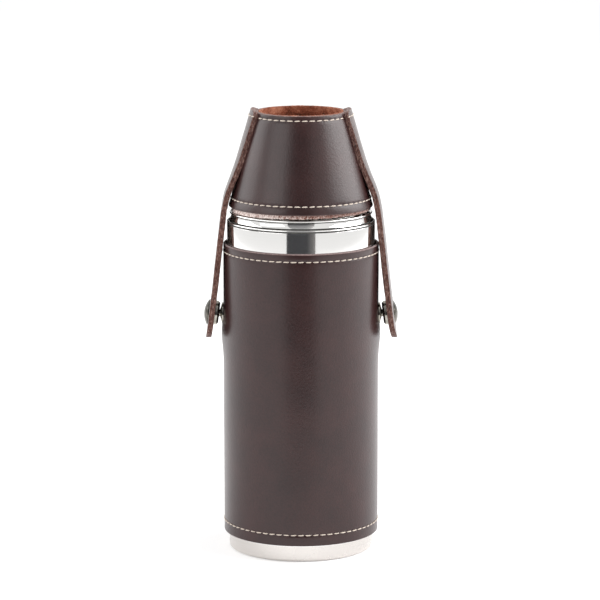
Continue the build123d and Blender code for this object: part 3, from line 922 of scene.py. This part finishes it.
def makeStraps():
    look = strapLook
    for side in ("left", "right"):
        for kind, depth, thickness, shrink in (
            ("face", look["faceThick"], look["faceThick"], 0.0),
            ("backing", look["faceThick"] + look["backThick"], look["backThick"] - layerGap,
             look["backShrink"]),
        ):
            name = f"strap{side.capitalize()}{kind.capitalize()}"
            ply = makePly(name, side, kind, depth, thickness, shrink)
            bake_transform(ply)
            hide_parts(f"strap_{side}_sewn_{kind}", f"strap_{side}_tail_{kind}")


makeStraps()
print("straps done")

for side in ("left", "right"):
    # the caps take the darker copy of the plating, a painted dark reflection
    for part, finish in (("cap", shadedNickel), ("socket", nickel), ("stud", nickel), ("post", nickel)):
        paint(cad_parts[f"snap_{side}_{part}"], finish)
bpy.data.objects.remove(stitch)
bpy.data.objects.remove(fibre)
print("snaps done")


def makeStage():
    floor = {"size": 60.0, "tint": colour("#f4f4f4"), "glow": 0.16}
    bpy.ops.object.select_all(action="DESELECT")
    bpy.ops.mesh.primitive_plane_add(size=floor["size"], location=(0, 0, -0.0001))
    ground = bpy.context.object
    ground.name = "floor"
    paper, shader = newMaterial("matt_white_paper", Roughness=1.0)
    shader.inputs["Base Color"].default_value = floor["tint"]
    shader.inputs["Emission Color"].default_value = floor["tint"]
    shader.inputs["Emission Strength"].default_value = floor["glow"]
    shader.inputs["Specular IOR Level"].default_value = 0.0
    paint(ground, paper)

    card = {"width": 0.28, "height": 1.0, "distance": 0.36,
            "tint": colour("#3b3b3d"), "wornAndLit": colour("#6e6c6b")}
    bpy.ops.mesh.primitive_plane_add(size=1, location=(0, -card["distance"], card["height"] / 2),
                                     rotation=(math.pi / 2, 0, 0))
    flag = bpy.context.object
    flag.name = "darkCard"
    flag.scale = (card["width"], card["height"], 1)
    flag.visible_camera = flag.visible_diffuse = flag.visible_shadow = False
    felt, shader = newMaterial("black_felt_card", Roughness=1.0)
    shader.inputs["Specular IOR Level"].default_value = 0.0
    # painted light and shade: darkest at its foot, fading to grey towards its top and its right-hand edge
    across, down = (addNode(felt, "ShaderNodeSeparateXYZ", links={"Vector": objectCoords(felt)}).outputs[k]
                    for k in ("X", "Y"))
    height = addNode(felt, "ShaderNodeMath", {"operation": "ADD"}, {1: 0.5}, {0: down}).outputs["Value"]
    side = ramp(felt, across, (0.0, card["tint"]), (0.2, card["tint"]), (0.5, card["wornAndLit"]))
    top = ramp(felt, height, (0.14, grey(0.0)), (0.3, grey(0.13)), (0.95, grey(0.3)))
    foot = ramp(felt, height, (0.02, grey(0.3)), (0.065, grey(1.0)))
    paintedLightGradient = addNode(felt, "ShaderNodeMix", {"data_type": "RGBA", "blend_type": "ADD"}, {"Factor": 1.0},
                    {"A": side, "B": top})
    whole = addNode(felt, "ShaderNodeMix", {"data_type": "RGBA", "blend_type": "MULTIPLY"}, {"Factor": 1.0},
                    {"A": paintedLightGradient.outputs["Result"], "B": foot})
    connect(felt, whole.outputs["Result"], shader, "Base Color")
    paint(flag, felt)


def addLight(name, power, size, place, aim):
    light = bpy.data.lights.new(name, "AREA")
    light.shape = "RECTANGLE"
    light.energy = power
    light.size, light.size_y = size
    lamp = bpy.data.objects.new(name, light)
    lamp.location = place
    lamp.rotation_euler = (Vector(aim) - Vector(place)).to_track_quat("-Z", "Y").to_euler()
    bpy.context.collection.objects.link(lamp)


def makeLight():
    world = bpy.data.worlds.new("studio")
    bpy.context.scene.world = world
    world.use_nodes = True
    world.node_tree.nodes["Background"].inputs["Color"].default_value = (1, 1, 1, 1)
    world.node_tree.nodes["Background"].inputs["Strength"].default_value = 0.92
    addLight("panelLeft", 5.1, (0.8, 0.95), (-1.0, 0.30, 0.66), (0, 0, 0.1))
    addLight("softboxLeft", 2.6, (0.92, 0.45), (-0.92, -0.77, 0.62), (0, 0, 0.16))
    addLight("softboxRight", 5.2, (0.6, 0.7), (1.12, -0.38, 0.80), (0, 0, 0.15))
    addLight("panelRight", 11.4, (0.8, 0.95), (1.0, 0.16, 0.66), (0, 0, 0.1))


def makeCamera():
    view = {"place": (-0.0004, -1.2904, 0.3397), "aim": (-0.0004, 0, 0.1029), "lens": 192.0}
    camera = bpy.data.cameras.new("camera")
    camera.lens = view["lens"]
    camera.sensor_width = 36
    eye = bpy.data.objects.new("camera", camera)
    eye.location = view["place"]
    eye.rotation_euler = (Vector(view["aim"]) - Vector(view["place"])).to_track_quat("-Z", "Y").to_euler()
    bpy.context.collection.objects.link(eye)
    bpy.context.scene.camera = eye


makeStage()
makeLight()
makeCamera()
bpy.context.scene.view_settings.view_transform = "Standard"
print("stage, light and camera set")
